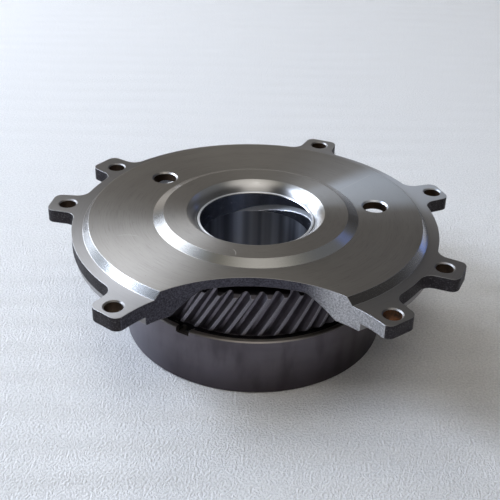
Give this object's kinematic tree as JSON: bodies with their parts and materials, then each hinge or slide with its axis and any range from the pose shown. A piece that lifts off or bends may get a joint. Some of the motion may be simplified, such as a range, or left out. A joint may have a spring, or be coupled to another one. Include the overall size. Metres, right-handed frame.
{
  "type": "gearbox output gear",
  "caption": "Helical output gear on taper roller bearings in a round bolt-on support cover with a bite in its rim, carrying an internally toothed drum below.",
  "frame": {"origin": "on the gear's axis, in the plane where the cover's ears seat on the gearbox case", "axes": "+Z along the axis out of the raised hub, -Y towards the bite in the cover's rim, +X to the right of it"},
  "size_m": [0.227, 0.2075, 0.0684],
  "materials": {
    "turned_iron": "turned faces, cast edges",
    "bush_steel": "bored smooth",
    "gear_steel": "ground, oiled",
    "drum_steel": "satin, heat tinted",
    "bearing_steel": "ground bright",
    "cage_steel": "pressed, dull",
    "plain_steel": "turned",
    "spring_steel": "black, oiled"
  },
  "bodies": {
    "support": {"support_cover": "turned_iron", "upper_bush": "bush_steel", "lower_bush": "bush_steel", "upper_bearing_cone": "bearing_steel", "lower_bearing_cone": "bearing_steel", "cone_spacer": "plain_steel", "lock_washer": "plain_steel", "lock_nut": "plain_steel"},
    "rotor": {"output_gear": "gear_steel", "ring_gear_drum": "drum_steel", "upper_bearing_cup": "bearing_steel", "lower_bearing_cup": "bearing_steel", "upper_snap_ring": "spring_steel", "lower_snap_ring": "spring_steel"},
    "upper_cage_set": {"upper_bearing_cage": "cage_steel", "upper_bearing_rollers": "bearing_steel"},
    "lower_cage_set": {"lower_bearing_cage": "cage_steel", "lower_bearing_rollers": "bearing_steel"}
  },
  "joints": [
    {"name": "gear_spin", "type": "hinge", "parent": "support", "child": "rotor", "pos_m": [0, 0, 0], "axis": [0, 0, 1], "continuous": true},
    {"name": "upper_cage_spin", "type": "hinge", "parent": "support", "child": "upper_cage_set", "pos_m": [0, 0, 0], "axis": [0, 0, 1], "continuous": true},
    {"name": "lower_cage_spin", "type": "hinge", "parent": "support", "child": "lower_cage_set", "pos_m": [0, 0, 0], "axis": [0, 0, 1], "continuous": true}
  ],
  "couplings": [
    {"joint": "upper_cage_spin", "follows": "gear_spin", "ratio": 0.54107},
    {"joint": "lower_cage_spin", "follows": "gear_spin", "ratio": 0.54107}
  ]
}
